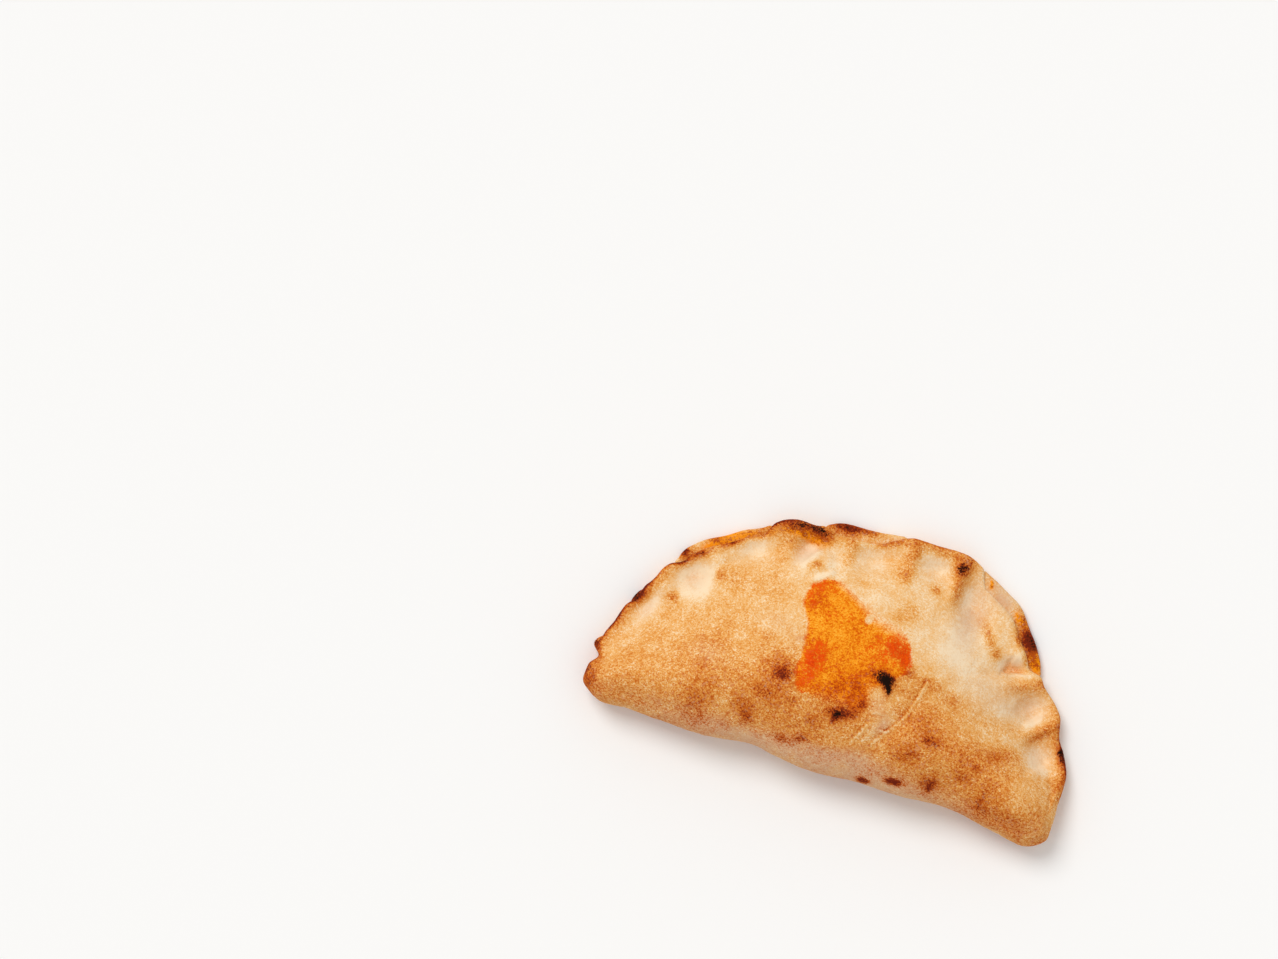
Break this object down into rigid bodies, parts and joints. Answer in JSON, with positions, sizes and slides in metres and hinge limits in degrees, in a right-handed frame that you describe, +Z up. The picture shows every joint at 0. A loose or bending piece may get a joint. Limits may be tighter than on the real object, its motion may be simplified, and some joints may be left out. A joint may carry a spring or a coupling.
{
  "type": "calzone",
  "caption": "Baked half-moon calzone, lying flat: round folded edge, filled body, pinched rim of layered dough with fingertip dents, blunt tips.",
  "frame": {"origin": "under the middle of the calzone's box in plan, on the surface it lies on", "axes": "+X along the folded edge, +Y from the fold to the pinched rim, +Z up"},
  "size_m": [0.2122, 0.1112, 0.0414],
  "materials": {
    "crust": "dry baked dough, cream to golden brown, with charred spots, a tomato stain and a little oil on the lower lip"
  },
  "bodies": {
    "root": {"calzone": "crust"}
  },
  "joints": []
}
